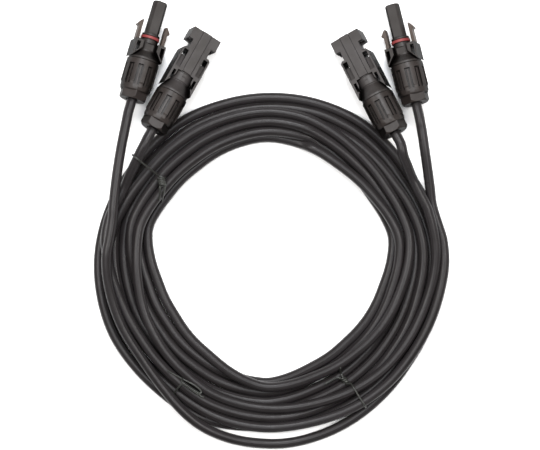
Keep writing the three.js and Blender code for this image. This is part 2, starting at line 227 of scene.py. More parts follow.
def edge_radius(outline):
    """The distance of a band edge from the coil's centre, as a function of the direction."""
    corners = np.array(outline)
    turn = np.unwrap(np.arctan2(corners[:, 1], corners[:, 0]))
    reach = np.hypot(corners[:, 0], corners[:, 1])
    if turn[-1] < turn[0]:
        turn, reach = turn[::-1], reach[::-1]
    fine = np.radians(np.arange(360))
    radius = np.interp(fine, turn, reach, period=2 * np.pi)
    smooth = softened(radius, 6, wrap=True)
    return lambda angle: np.interp(angle, fine, smooth, period=2 * np.pi)


outer_edge = edge_radius(BAND_OUTER)
inner_edge = edge_radius(BAND_INNER)


def lane_limits(angle):
    """The innermost and outermost centreline radius in the band."""
    return inner_edge(angle) + CABLE_RADIUS, outer_edge(angle) - CABLE_RADIUS


def loose_shift(angle):
    """How far the loose turn swings out of the band."""
    away = np.abs(np.degrees(angle) - LOOSE["at"]) / LOOSE["reach"]
    return LOOSE["out"] * ease(1 - away)


def keyed(keys, degrees):
    """A smooth curve through a few (degrees, value) pairs."""
    at = np.arange(keys[0][0], keys[-1][0], 4)
    values = softened(np.interp(at, *zip(*keys)), 15)
    return np.interp(degrees, at, values)


def smooth_path(points, steps=6):
    """A Catmull-Rom curve through the points."""
    points = np.asarray(points, float)
    ends = 2 * points[0] - points[1], 2 * points[-1] - points[-2]
    points = np.vstack([ends[0], points, ends[1]])
    a, b, c, d = (points[i:len(points) - 3 + i, None] for i in range(4))
    t = np.linspace(0, 1, steps, endpoint=False)[None, :, None]
    pieces = 0.5 * (
        2 * b + (c - a) * t + (2 * a - 5 * b + 4 * c - d) * t**2 + (3 * b - a - 3 * c + d) * t**3
    )
    return np.vstack([pieces.reshape(-1, 3), points[-2]])


def along(points):
    """The distance along a path, at each of its points."""
    return np.concatenate([[0], np.cumsum(np.linalg.norm(np.diff(points, axis=0), axis=1))])


def evenly(points, step):
    """The path, with its points a fixed step apart."""
    at = along(points)
    wanted = np.linspace(0, at[-1], int(round(at[-1] / step)) + 1)
    return np.stack([np.interp(wanted, at, points[:, axis]) for axis in range(3)], 1)


def tail(name):
    """The cable's way out of a connector and down to the coil."""
    place = connector_place(name)
    straight = [place @ Vector((0, station, 0)) for station in AXIS_STATIONS]
    route = [coil_centre + Vector(point) for point in TAIL_ROUTES[name]]
    return np.array(straight + route)


def planned_turns(lead, start, end):
    """The turns of one lead, before they settle, between the ends of its two tails."""
    first, last = start[-1] - centre, end[0] - centre
    from_angle = math.atan2(first[1], first[0])
    to_angle = math.atan2(last[1], last[0]) + 2 * math.pi * TURNS
    steps = int((to_angle - from_angle) / math.radians(TURN_STEP))
    angle = np.linspace(from_angle, to_angle, steps)[4:-4]
    degrees = np.degrees(angle)
    lane = keyed(lead["lane"], degrees)
    height = keyed(lead["height"], degrees)
    for point, turned_by in ((first, angle - from_angle), (last, to_angle - angle)):
        near = ease(turned_by / MERGING)
        low, high = lane_limits(math.atan2(point[1], point[0]))
        own_lane = (math.hypot(point[0], point[1]) - low) / (high - low)
        lane = own_lane + (lane - own_lane) * near
        height = point[2] + (height - point[2]) * near
    low, high = lane_limits(angle)
    radius = low + lane * (high - low)
    if lead["loose"]:
        radius += loose_shift(angle)
    return centre + np.stack([radius * np.cos(angle), radius * np.sin(angle), height], 1)


def planned_lead(lead):
    """The whole planned path of a lead, and how free each point is to settle, from 0 to 1."""
    start, end = tail(lead["ends"][0]), tail(lead["ends"][1])[::-1]
    turns = planned_turns(lead, start, end)
    path = evenly(smooth_path(np.vstack([start, turns, end])), CABLE_STEP)
    at = along(path)
    held = CABLE_END * MM + CABLE_HELD
    reach = 0.045
    free = ease((at - held) / reach) * ease((at[-1] - held - at) / reach)
    return path, free


def close_pairs(place, lead_of):
    """Pairs of points that may touch: of two leads, or far enough apart along one."""
    pairs = []
    apart = 8
    near = 0.010
    for first in range(0, len(place), 256):
        chunk = place[first:first + 256, None, :2]
        i, j = np.nonzero(np.abs(chunk - place[None, :, :2]).max(2) < near)
        i += first
        keep = (j > i) & ((lead_of[i] != lead_of[j]) | (j - i > apart))
        pairs.append(np.stack([i[keep], j[keep]]))
    return np.hstack(pairs)


def lift_under_ties(angle):
    """The lowest centreline height: the turns rest on the floor, or on a wire tie."""
    height = np.full(len(angle), CABLE_RADIUS)
    for tie in TIES:
        away = np.abs((np.degrees(angle) - tie["angle"] + 180) % 360 - 180)
        height += (2 * TIE_RADIUS + 0.0002) * ease(1 - away / 25)
    return height


def settle(paths, rounds=340, calm=60):
    """Lets the leads sink and push each other aside until each lies beside or on the next."""
    counts = [len(path) for path, _ in paths]
    cuts = np.cumsum(counts)[:-1]
    place = np.vstack([path for path, _ in paths]) - centre
    free = np.concatenate([share for _, share in paths])[:, None]
    lead_of = np.repeat(np.arange(len(paths)), counts)
    plan = place.copy()
    plan_angle = np.arctan2(plan[:, 1], plan[:, 0])
    beyond = np.maximum(np.hypot(plan[:, 0], plan[:, 1]) - lane_limits(plan_angle)[1], 0)
    width = 2 * CABLE_RADIUS
    sink = 0.00012
    give = 0.0004
    for step in range(rounds):
        sinking = step < rounds - calm
        if step % 8 == 0:
            pairs = close_pairs(place, lead_of)
        tangent = np.vstack([np.gradient(part, axis=0) for part in np.split(place, cuts)])
        tangent /= np.linalg.norm(tangent, axis=1)[:, None]
        i, j = pairs
        between = place[i] - place[j]
        heading = tangent[i] + np.sign((tangent[i] * tangent[j]).sum(1))[:, None] * tangent[j]
        heading /= np.linalg.norm(heading, axis=1)[:, None]
        slip = (between * heading).sum(1)
        across = between - slip[:, None] * heading
        gap = np.linalg.norm(across, axis=1)
        touch = (gap < width) & (np.abs(slip) < 0.75 * CABLE_STEP)
        i, j, across, gap = i[touch], j[touch], across[touch], np.maximum(gap[touch], 1e-6)
        push = across / gap[:, None] * (width - gap)[:, None] / 2
        move = np.zeros_like(place)
        count = np.zeros(len(place))
        np.add.at(move, i, push)
        np.add.at(move, j, -push)
        np.add.at(count, i, 1)
        np.add.at(count, j, 1)
        move /= np.sqrt(np.maximum(count, 1))[:, None]
        if sinking:
            move[:, 2] -= sink
        place += move * free
        shift = place - plan
        stiff = 0.6 if sinking else 0.15
        for part in np.split(np.arange(len(place)), cuts):
            for axis in range(3):
                soft = softened(shift[part, axis], 6)
                shift[part, axis] += stiff * (soft - shift[part, axis]) * (free[part, 0] > 0)
        if sinking:
            shift[:, :2] *= 0.97
        place = plan + shift
        radius = np.hypot(place[:, 0], place[:, 1])
        angle = np.arctan2(place[:, 1], place[:, 0])
        low, high = lane_limits(angle)
        kept = np.clip(radius, low - give, high + give + beyond)
        place[:, :2] *= np.where(free > 0.6, kept[:, None] / radius[:, None], 1)
        place[:, 2] = np.maximum(place[:, 2], lift_under_ties(angle))
    return np.split(place + centre, cuts)


def tube(name, path, radius, sides):
    """A round bar along a path; its UV map runs once round it, and along it in metres."""
    path = np.asarray(path, float)
    tangent = np.gradient(path, axis=0)
    tangent /= np.linalg.norm(tangent, axis=1)[:, None]
    normal = np.empty_like(path)
    carried = np.cross(tangent[0], (0.3, 0.2, 0.9))
    for index, heading in enumerate(tangent):
        carried = carried - heading * (carried @ heading)
        carried /= np.linalg.norm(carried)
        normal[index] = carried
    side = np.cross(tangent, normal)
    turn = np.linspace(0, 2 * math.pi, sides, endpoint=False)
    ring = np.cos(turn)[None, :, None] * normal[:, None] + np.sin(turn)[None, :, None] * side[:, None]
    radius = np.broadcast_to(radius, len(path))
    points = path[:, None] + radius[:, None, None] * ring
    row, column = np.meshgrid(np.arange(len(path) - 1), np.arange(sides), indexing="ij")
    after = (column + 1) % sides
    corners = [(row, column), (row, after), (row + 1, after), (row + 1, column)]
    quads = np.stack([r * sides + c for r, c in corners], -1).reshape(-1, 4)
    caps = [list(range(sides))[::-1], list(range((len(path) - 1) * sides, len(path) * sides))]
    mesh = bpy.data.meshes.new(name)
    mesh.from_pydata(points.reshape(-1, 3).tolist(), [], quads.tolist() + caps)
    round_it = np.stack([column, column + 1, column + 1, column], -1) / sides
    length = along(path)
    along_it = np.stack([length[row], length[row], length[row + 1], length[row + 1]], -1)
    uv = np.stack([round_it, along_it], -1).reshape(-1, 2)
    uv = np.vstack([uv, np.zeros((2 * sides, 2))])
    mesh.uv_layers.new(name="UVMap").data.foreach_set("uv", uv.ravel())
    mesh.shade_smooth()
    mesh.update()
    return add_object(name, mesh)


lead_paths = settle([planned_lead(lead) for lead in LEADS])


def lay_leads():
    for lead, path in zip(LEADS, lead_paths):
        piece = tube(lead["name"], evenly(smooth_path(path, 2), CABLE_STEP / 2), CABLE_RADIUS, 24)
        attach(piece, "root")
        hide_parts("cable_coil", *(end + "_cable" for end in lead["ends"]))
        finished[piece.name] = "jacket"


finished = {}
lay_leads()


# ---------- wire ties ----------

fine_paths = [evenly(path, 0.001) for path in lead_paths]
fine_leads = np.vstack(fine_paths)


def cable_top(x, y):
    """The height of the cables, or of the floor, under a point about the coil's centre."""
    away = np.hypot(fine_leads[:, 0] - coil_centre.x - x, fine_leads[:, 1] - coil_centre.y - y)
    under = away < CABLE_RADIUS
    tops = fine_leads[under, 2] + np.sqrt(CABLE_RADIUS**2 - away[under] ** 2)
    return max(tops, default=0)


def crossings(angle):
    """Where the leads cross the upright plane at this angle: distances from the centre, heights."""
    out = np.array((math.cos(angle), math.sin(angle)))
    across = np.array((-out[1], out[0]))
    found = []
    for path in fine_paths:
        flat = path - centre
        side, reach = flat[:, :2] @ across, flat[:, :2] @ out
        at = np.nonzero((side[:-1] * side[1:] <= 0) & (reach[:-1] > 0))[0]
        found += [(reach[k], flat[k, 2]) for k in at]
    return np.array(found)


def turns_left(first, middle, last):
    """Whether the way through three flat points turns counter-clockwise."""
    return np.cross(np.subtract(middle, first), np.subtract(last, middle)) > 0


def hull(points):
    """The convex outline round some flat points, counter-clockwise."""
    ordered = sorted(map(tuple, points))
    outline = []
    for run in (ordered, ordered[::-1]):
        part = []
        for point in run:
            while len(part) > 1 and not turns_left(part[-2], part[-1], point):
                part.pop()
            part.append(point)
        outline += part[:-1]
    return np.array(outline)


def tie_loop(angle, reach, knot):
    """A wire pulled tight round the outer turns, from the knot on top of them and back to it."""
    clear = CABLE_RADIUS + TIE_RADIUS
    round_it = np.linspace(0, 2 * np.pi, 36, endpoint=False)
    circle = clear * np.stack([np.cos(round_it), np.sin(round_it)], 1)
    held = crossings(angle)
    held = held[(held[:, 0] > reach[0]) & (held[:, 0] < reach[1])]
    outline = hull((held[:, None] + circle[None]).reshape(-1, 2))
    closed = np.vstack([outline, outline[:1]])
    outline = evenly(np.column_stack([closed, np.zeros(len(closed))]), 0.001)[:-1, :2]
    on_top = outline[:, 1] > outline[:, 1].mean()
    start = int(np.argmin(np.abs(outline[:, 0] - knot) + 10 * ~on_top))
    outline = np.vstack([np.roll(outline, -start, axis=0), outline[start:start + 1]])
    aside = np.linspace(-1, 1, len(outline)) * TIE_RADIUS * 1.1
    reach, height = outline.T
    x = reach * math.cos(angle) - aside * math.sin(angle)
    y = reach * math.sin(angle) + aside * math.cos(angle)
    return np.stack([x, y, np.maximum(height, TIE_RADIUS)], 1)


def twisted(start, end, half_turns, swell):
    """Two wires twisted round each other along a line, loosely if it swells."""
    steps = np.linspace(0, 1, 8 * half_turns)[:, None]
    line = np.asarray(start) + steps * (np.asarray(end) - np.asarray(start))
    heading = np.subtract(end, start) / np.linalg.norm(np.subtract(end, start))
    side = np.cross(heading, (0, 0, 1))
    side /= np.linalg.norm(side)
    up = np.cross(side, heading)
    turn = np.pi * half_turns * steps
    swing = TIE_RADIUS * 1.08 * swell * (np.cos(turn) * side + np.sin(turn) * up)
    return line + swing, line - swing


def resting(points, lift):
    """Flat points raised to lie on the cables."""
    return [(x, y, cable_top(x, y) + lift) for x, y in points]


def wind_ties():
    for tie in TIES:
        loop = tie_loop(math.radians(tie["angle"]), tie["held"], tie["knot"])
        lift = (1.2 + 1.1 * tie["swell"]) * TIE_RADIUS
        first, second = twisted(*resting(tie["twist"], lift), tie["half_turns"], tie["swell"])
        end_a, end_b = (resting(points, 1.4 * TIE_RADIUS) for points in tie["ends"])
        path = np.vstack([end_a[::-1], first[::-1], loop[2:-2], second, end_b])
        path = evenly(smooth_path(path, 4), 0.0006) + centre
        piece = tube("fine_" + tie["name"], path, TIE_RADIUS, 12)
        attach(piece, "root")
        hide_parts(tie["name"])
        finished[piece.name] = "tie"


wind_ties()


# ---------- shapes ----------
# A connector's outlines and profiles are lists of (x, y) or (radius, station) corners in
# millimetres; a corner may carry its own rounding as a third value.

ROUND = 72


def rounded(corners, rounding=0.0, shrink=0.0, steps=3):
    """A closed outline moved inwards by `shrink`, with its corners rounded."""
    points = [Vector(corner[:2]) for corner in corners]
    area = sum(a.cross(b) for a, b in zip(points, points[1:] + points[:1]))
    inwards = 1 if area > 0 else -1
    moved = []
    for index, here in enumerate(points):
        before = (here - points[index - 1]).normalized()
        after = (points[(index + 1) % len(points)] - here).normalized()
        sides = Vector((-before.y, before.x)) + Vector((-after.y, after.x))
        moved.append(here + sides * (2 * inwards * shrink / max(sides.length_squared, 0.3)))
    outline = []
    for index, here in enumerate(moved):
        back = moved[index - 1] - here
        on = moved[(index + 1) % len(moved)] - here
        corner = corners[index]
        size = corner[2] if len(corner) > 2 else rounding
        opening = back.angle(on, math.pi)
        if size <= 0 or opening > math.radians(170):
            outline.append(here)
            continue
        hollow = back.cross(on) * inwards > 0
        size = size + shrink if hollow else max(size - shrink, 0.02)
        reach = min(size / math.tan(opening / 2), 0.45 * back.length, 0.45 * on.length)
        first, last = here + back.normalized() * reach, here + on.normalized() * reach
        for step in range(steps + 1):
            t = step / steps
            outline.append(first * (1 - t) ** 2 + here * (2 * t * (1 - t)) + last * t**2)
    return outline


def new_piece(name, vertices, faces):
    """A closed mesh with its faces turned outwards."""
    mesh = bpy.data.meshes.new(name)
    mesh.from_pydata(vertices, [], faces)
    shell = bmesh.new()
    shell.from_mesh(mesh)
    bmesh.ops.remove_doubles(shell, verts=shell.verts, dist=1e-5)
    bmesh.ops.recalc_face_normals(shell, faces=shell.faces)
    bmesh.ops.triangulate(shell, faces=shell.faces)
    shell.to_mesh(mesh)
    shell.free()
    return add_object(name, mesh)


def turned(profile, rounding=0.0, sides=ROUND, steps=3):
    """A piece turned about +Y, from a closed profile of (radius, station) corners."""
    loop = rounded([(r, y, 0) if r == 0 else (r, y, *own) for r, y, *own in profile], rounding, 0, steps)
    angles = [2 * math.pi * side / sides for side in range(sides)]
    rings = [[(r * math.sin(a), y, r * math.cos(a)) for a in angles] for r, y in loop]
    faces = []
    for index, (here, there) in enumerate(zip(loop, loop[1:] + loop[:1])):
        if here.x == 0 and there.x == 0:
            continue
        a, b = index * sides, (index + 1) % len(loop) * sides
        for side in range(sides):
            on = (side + 1) % sides
            if here.x == 0:
                faces.append((a, b + side, b + on))
            elif there.x == 0:
                faces.append((a + side, b, a + on))
            else:
                faces.append((a + side, b + side, b + on, a + on))
    return new_piece("turned", [point for ring in rings for point in ring], faces)


def bar(radius, start, end):
    """A round bar along +Y."""
    return turned([(0, start), (radius, start), (radius, end), (0, end)])


def plate(outline, low, high, edge=0.0, rounding=0.0):
    """A flat plate between two heights, its long edges rounded by `edge`."""
    steps = 3
    levels = [(0.0, low), (0.0, high)]
    if edge > 0:
        arc = [math.pi / 2 * step / steps for step in range(steps + 1)]
        foot = [(edge * (1 - math.sin(a)), low + edge * (1 - math.cos(a))) for a in arc]
        levels = foot + [(inset, high + low - height) for inset, height in reversed(foot)]
    rings = [[(p.x, p.y, z) for p in rounded(outline, rounding, inset)] for inset, z in levels]
    count = len(rings[0])
    faces = [list(range(count)), list(range((len(rings) - 1) * count, len(rings) * count))]
    for level in range(len(rings) - 1):
        for index in range(count):
            on = (index + 1) % count
            a, b = level * count, (level + 1) * count
            faces.append((a + index, a + on, b + on, b + index))
    return new_piece("plate", [point for ring in rings for point in ring], faces)


def block(low, high, edge=0.0):
    """A box between two corners, its upright edges rounded."""
    (x0, y0, z0), (x1, y1, z1) = low, high
    return plate([(x0, y0), (x1, y0), (x1, y1), (x0, y1)], z0, z1, 0, edge)


def spun(piece, degrees, axis="Y"):
    """The piece, turned about the connector's axis or another one."""
    piece.data.transform(Matrix.Rotation(math.radians(degrees), 4, axis))
    return piece


def mirrored(make):
    """A piece and its mirror image across the connector's middle plane."""
    right, left = make(), make()
    left.data.transform(Matrix.Scale(-1, 4, (1, 0, 0)))
    left.data.flip_normals()
    return [right, left]


def baked(piece):
    """The piece, with what its modifiers make of it as its own mesh."""
    graph = bpy.context.evaluated_depsgraph_get()
    mesh = bpy.data.meshes.new_from_object(piece.evaluated_get(graph))
    piece.modifiers.clear()
    old, piece.data = piece.data, mesh
    bpy.data.meshes.remove(old)
    return piece


def combine(piece, others, operation):
    """Joins the others to the piece (UNION), or cuts them from it (DIFFERENCE)."""
    for other in others:
        step = piece.modifiers.new("combine", "BOOLEAN")
        step.object = other
        step.operation = operation
        step.solver = "MANIFOLD"
    baked(piece)
    for other in others:
        bpy.data.meshes.remove(other.data)
    return piece


def joined(piece, *others):
    return combine(piece, others, "UNION")


def cut(piece, *others):
    return combine(piece, others, "DIFFERENCE")


def smooth_shaded(piece, angle=32):
    """Smooth across shallow edges, sharp at the others."""
    piece.data.shade_smooth()
    piece.data.set_sharp_from_angle(angle=math.radians(angle))
    weighted = piece.modifiers.new("normals", "WEIGHTED_NORMAL")
    weighted.keep_sharp = True
    return baked(piece)


# ---------- gland: nut, claw, seal ----------

NUT = {
    "across_flats": 15, "behind": 9.35, "radius": 9.85, "front": 24, "mouth": 3.6, "thread": 8.3,
    "cone_end": 8.2, "flutes": 10, "flute_width": 3.3, "flute_floor": 9.2, "flute_to": 20.7,
    "flute_shift": -10.5, "side_width": 1.05, "side_floor": 8.45,
}
# degrees about its axis, by connector
NUT_TURN = {"left_slim": -7.3, "left_sleeve": 138.5, "right_slim": -120, "right_sleeve": -20.4}
SPIGOT = {"start": 13, "radius": 8, "seat": 6, "seat_end": 21.5, "bore": 3.5, "pitch": 1.5}
COLLAR = {"start": 24.3, "radius": 9.2}


def nut():
    """A hexagon to hold it by, and a fluted skirt that screws over the spigot."""
    corner = NUT["across_flats"] / math.sqrt(3)
    skirt = turned([
        (0, 4.9), (8.4, 4.9), (8.75, 5.3, 0.3), (NUT["behind"], 6.9, 0.5), (NUT["behind"], 9.0),
        (NUT["radius"], 9.9, 0.3), (NUT["radius"], NUT["front"], 0.35), (0, NUT["front"]),
    ], sides=120)
    half, front = NUT["flute_width"] / 2, NUT["flute_to"]
    flutes = []
    for index in range(NUT["flutes"]):
        angle = NUT["flute_shift"] + 360 / NUT["flutes"] * index
        outline = [(-half, 4.5, 1.2), (half, 4.5, 1.2), (half, front, 0.35), (-half, front, 0.35)]
        flutes.append(spun(plate(outline, NUT["flute_floor"], 12), angle))
        for side in (-half, half - NUT["side_width"]):
            low, high = (side, 8.2, NUT["side_floor"]), (side + NUT["side_width"], front, 12)
            flutes.append(spun(block(low, high, 0.1), angle))
        flutes.append(spun(block((-half, front - 0.8, NUT["side_floor"]), (half, front, 12), 0.1), angle))
    skirt = cut(skirt, *flutes)
    angles = [math.radians(degrees) for degrees in range(0, 360, 60)]
    outline = [(corner * math.sin(angle), corner * math.cos(angle), 0.35) for angle in angles]
    hexagon = spun(plate(outline, 0, 6.4, 0.15), -90, "X")
    around = turned([(corner - 2.0, -1), (12, -1), (12, 1.5), (corner + 0.1, 1.5)])
    mouth, thread_at = NUT["mouth"], NUT["thread"]
    bore = turned([
        (0, -1), (mouth + 0.4, -1), (mouth + 0.4, 0.1, 0.2), (mouth, 0.5, 0.3),
        (mouth, NUT["cone_end"] - thread_at + mouth), (thread_at, NUT["cone_end"]),
        (thread_at, NUT["front"] - 0.3), (thread_at + 0.6, NUT["front"] + 0.3), (0, NUT["front"] + 0.3),
    ])
    return marked_groove_shade(cut(joined(skirt, hexagon), around, bore))


def marked_groove_shade(piece):
    """Stores how deep each point of the skirt lies, for the painted shade that darkens the grooves: 0 down in
    a groove, 1 clear of it.
    """
    depth = piece.data.attributes.new("groove_unshaded", "FLOAT", "POINT")
    for vertex, mark in zip(piece.data.vertices, depth.data):
        radius = math.hypot(vertex.co.x, vertex.co.z)
        share = (radius - NUT["side_floor"]) / (NUT["flute_floor"] - NUT["side_floor"])
        mark.value = min(max(share, 0), 1) if vertex.co.y > 6.5 else 1
    return piece


def claw():
    """The ring of six fingers that the nut's cone presses onto the cable."""
    bore = 3.35
    ring = turned([(bore, 4.6), (4.1, 4.6), (7.5, 8.6), (7.5, 12.6), (bore, 12.6)], 0.25, 48)
    slots = [spun(block((-10, 4, -0.5), (10, 10, 0.5), 0.1), 60 * index) for index in range(3)]
    return cut(ring, *slots)


def gland_seal():
    """The rubber sleeve that seals the cable, with a groove round it."""
    outer, bore = SPIGOT["seat"] - 0.3, 3.35
    return turned([
        (bore, 13.2), (outer, 13.8), (outer, 15.6), (outer - 0.5, 16.2), (outer - 0.5, 17.2),
        (outer, 17.8), (outer, 20), (bore, 20.5),
    ], 0.3, 48)


# ---------- housings ----------

WING = {"half": 6.6, "edge": 0.35}
SLIM = {
    "length": 62, "half_width": 9.5, "wing_top": 35.8, "barrel": 5.25, "barrel_end": 37.4,
    "nose": 4.4, "nose_flat": 3.6, "nose_bore": 3, "nose_start": 41,
}
RING = {"start": 37.8, "end": 39.6, "seat": 4.5, "radius": 5.75}
LATCH = {"root": 36.1, "inner": 7.2, "outer": 9.2, "barb": 10.4, "barb_at": 44.4, "tip": 48.4, "half": 2.5}
SLEEVE = {
    "length": 66, "half_width": 9.3, "barrel": 7.2, "cavity": 4.65, "cavity_start": 39.6,
    "throat": 5.95, "throat_start": 60.5, "notch_from": 52.7, "notch_to": 58.4,
    "neck": 6.4, "neck_behind": 5.3, "ridge_half": 2.9, "ridge_top": 7.4,
}


def rear_profile(neck, neck_at):
    """The threaded spigot inside the nut, the collar, and the concave cone in front of it."""
    root, collar, collar_at = SPIGOT["radius"] - 0.3, COLLAR["radius"], COLLAR["start"]
    middle = (collar + neck) / 2 - 0.5
    return [
        (0, SPIGOT["start"]), (root, SPIGOT["start"], 0.2), (root, collar_at), (collar, collar_at, 0.15),
        (collar, collar_at + 1.2, 0.4), (middle, neck_at - 1.8, 2.0), (neck, neck_at, 0.6),
    ]


def rear_hollow(bore_end):
    """The seal's seat, then the contact's bore."""
    seat, bore, start, end = SPIGOT["seat"], SPIGOT["bore"], SPIGOT["start"] - 1, SPIGOT["seat_end"]
    return turned([(0, start), (seat, start), (seat, end), (bore, end), (bore, bore_end), (0, bore_end)])


def thread():
    """The ridge that winds round the spigot."""
    sides, pitch = 48, SPIGOT["pitch"]
    turns = 6
    crest = SPIGOT["radius"]
    section = [(crest - 0.5, -0.45), (crest, -0.1), (crest, 0.1), (crest - 0.5, 0.45)]
    points, faces = [], []
    for step in range(turns * sides + 1):
        angle = 2 * math.pi * step / sides
        shift = SPIGOT["start"] + 1 + pitch * step / sides
        points += [(r * math.sin(angle), shift + y, r * math.cos(angle)) for r, y in section]
    count = len(section)
    for step in range(turns * sides):
        a, b = step * count, (step + 1) * count
        faces += [(a + k, a + (k + 1) % count, b + (k + 1) % count, b + k) for k in range(count)]
    faces += [tuple(range(count)), tuple(range(len(points) - count, len(points)))]
    return new_piece("thread", points, faces)


def slim_housing():
    """Barrel and nose in one, with a wing on each side that carries a latch."""
    flange = 5.4
    barrel, nose, length, flank = SLIM["barrel"], SLIM["nose"], SLIM["length"], SLIM["half_width"]
    body = turned([
        *rear_profile(barrel, 30), (barrel, SLIM["barrel_end"], 0.25), (RING["seat"], SLIM["barrel_end"]),
        (RING["seat"], RING["end"] + 0.3), (flange, RING["end"] + 0.3, 0.15),
        (flange, SLIM["nose_start"], 0.15), (nose, SLIM["nose_start"] + 0.4), (nose, length - 0.6),
        (nose - 0.4, length), (0, length),
    ], 0.1)
    wing = [
        (4.4, 31.2), (5.4, 30, 0.5), (flank, 24.9, 0.15), (flank, SLIM["wing_top"], 0.5),
        (4.4, SLIM["wing_top"], 0.2),
    ]
    wings = mirrored(lambda: plate(wing, -WING["half"], WING["half"], WING["edge"]))
    window = [(6.6, 34.2, 0.2), (8.8, 34.2, 0.2), (8.8, 27.1, 0.1), (8.4, 27.3, 0.1), (6.6, 29.7, 0.3)]
    windows = mirrored(lambda: plate(window, -8, 8))
    panel = block((-2.7, 30.9, barrel - 1.1), (2.7, 35, 8), 0.4)
    flats = [block((-6, SLIM["nose_start"] + 0.7, low), (6, length + 1, low + 2))
             for low in (SLIM["nose_flat"], -SLIM["nose_flat"] - 2)]
    nose_hollow = bar(SLIM["nose_bore"], 37, length + 1)
    whole = joined(body, *wings, thread())
    return cut(whole, rear_hollow(38), nose_hollow, *windows, panel, *flats)


def sleeve_housing():
    """A flat-sided sleeve that the slim connector's nose goes into, with a notch for each latch."""
    barrel, mouth, throat = SLEEVE["barrel"], SLEEVE["length"], SLEEVE["throat"]
    flank, neck = SLEEVE["half_width"], SLEEVE["neck"]
    notch_from, notch_to = SLEEVE["notch_from"], SLEEVE["notch_to"]
    body = turned([
        *rear_profile(6.5, 32.0), (7.1, 32.6, 0.25), (7.1, 37.5, 0.25), (6.7, 37.7), (6.7, 38.3),
        (barrel, 38.5, 0.2), (barrel, mouth, 0.3), (0, mouth),
    ], 0.05, sides=96)
    right_half = [
        (5.2, 38), (5.2, 34.8, 0.4), (flank, 26.4, 0.15), (flank, notch_from - 1.3, 0.3),
        (flank - 1.3, notch_from, 0.3), (neck, notch_from, 0.3), (neck, notch_to, 0.3),
        (flank, notch_to, 0.25), (flank, mouth, 0.5),
    ]
    left_half = [(-x, y, *own) for x, y, *own in reversed(right_half)]
    wings = plate(right_half + left_half, -WING["half"], WING["half"], WING["edge"])
    half = SLEEVE["ridge_half"]
    ridge = [(-half, 38.2, 0.3), (half, 38.2, 0.3), (half, mouth, 0.3), (-half, mouth, 0.3)]
    hollow = turned([
        (0, 38), (SPIGOT["bore"], 38), (SPIGOT["bore"], SLEEVE["cavity_start"]),
        (SLEEVE["cavity"], SLEEVE["cavity_start"]), (SLEEVE["cavity"], SLEEVE["throat_start"] - 0.7),
        (throat, SLEEVE["throat_start"]), (throat, mouth - 0.4), (throat + 0.5, mouth + 0.1),
        (throat + 0.5, mouth + 1), (0, mouth + 1),
    ])
    cutters = mirrored(lambda: block((SLEEVE["neck_behind"], notch_from, -10), (12, notch_to, 4.8), 0.3))
    cutters += mirrored(lambda: block((5.35, 47.6, -10), (8.25, 51.2, 10), 0.2))
    cutters += mirrored(lambda: block((6.2, 31.4, -10), (7.9, 36.9, 10), 0.3))
    cutters += mirrored(lambda: block((6.3, notch_to - 1, -2.9), (8.7, mouth + 1, 2.9), 0.2))
    for side in (0, 180):
        cutters += [spun(piece, side) for piece in mirrored(sloping_pocket)]
        cutters += [spun(piece, side) for piece in mirrored(edge_recess)]
    ridges = [spun(plate(ridge, 0, SLEEVE["ridge_top"], 0.45), side) for side in (0, 180)]
    whole = joined(body, wings, *ridges, dash(), thread())
    return cut(whole, rear_hollow(38.5), hollow, *cutters)


def sloping_pocket():
    """The recess in a flat face that gets deeper towards the latch's window."""
    shallow, deep = WING["half"] - 1.0, WING["half"] - 2.2
    piece = plate([(39.6, 8), (51.2, 8), (51.2, deep), (47.6, deep), (39.6, shallow)], 5.35, 8.25)
    swap = Matrix(((0, 0, 1, 0), (1, 0, 0, 0), (0, 1, 0, 0), (0, 0, 0, 1)))
    piece.data.transform(swap)
    return piece


def edge_recess():
    """The shallow lead-in behind the small slot in a wing."""
    outline = [(6.25, 30.6, 0.2), (7.0, 29.6, 0.2), (7.9, 30.6, 0.2), (7.9, 34, 0.1), (6.25, 34, 0.1)]
    return plate(outline, WING["half"] - 0.5, 8)


def dash():
    """A small raised bar on the round part behind the sleeve."""
    return plate([(-1.2, 35.2), (1.2, 35.2), (1.2, 35.6), (-1.2, 35.6)], 6.8, 7.28, 0.08)


# ---------- what the housings hold ----------

def latch(side):
    """A springy arm with a barbed, slanting tip."""
    inner, outer, barb, barb_at = LATCH["inner"], LATCH["outer"], LATCH["barb"], LATCH["barb_at"]
    outline = [
        (inner, LATCH["root"], 0.15), (outer, LATCH["root"], 0.15), (outer, barb_at - 0.5, 0.3),
        (barb, barb_at - 0.1, 0.2), (barb, barb_at + 0.8, 0.3), (inner + 0.9, LATCH["tip"], 0.35),
        (inner, LATCH["tip"], 0.3),
    ]
    arm = plate(outline, -LATCH["half"], LATCH["half"], 0.3)
    if side < 0:
        spun(arm, 180)
    return arm


def seal_ring():
    return turned([
        (RING["seat"] + 0.3, RING["start"] + 0.2), (RING["radius"], RING["start"], 0.7),
        (RING["radius"], RING["end"], 0.7), (RING["seat"] + 0.3, RING["end"] - 0.2),
    ], 0.1, 64, 5)


def contact_body(front):
    """The crimp barrel and the body of a contact, as corners up to the given station."""
    return [
        (0, 27.3), (1.5, 27.3), (1.5, 21.8, 0.1), (2.2, 21.8, 0.15), (2.2, 29, 0.2), (2.6, 29.4, 0.2),
        (2.6, 31), (3.1, 31, 0.15), (3.1, 32.2, 0.15), (2.6, 32.2), (2.6, front, 0.2),
    ]


def socket_contact():
    """A tube, split lengthways so that it grips the pin."""
    tube_piece = turned([*contact_body(58.5), (2.05, 58.5, 0.2), (2.05, 40), (0, 40)], 0, 48)
    slits = [spun(block((-4, 44, -0.2), (4, 60, 0.2)), 90 * index) for index in range(2)]
    return cut(tube_piece, *slits)


def pin_contact():
    return turned([*contact_body(38), (2.0, 38.5, 0.2), (2.0, 54.3, 0.8), (0.7, 55.5, 0.3), (0, 55.5)], 0, 48)


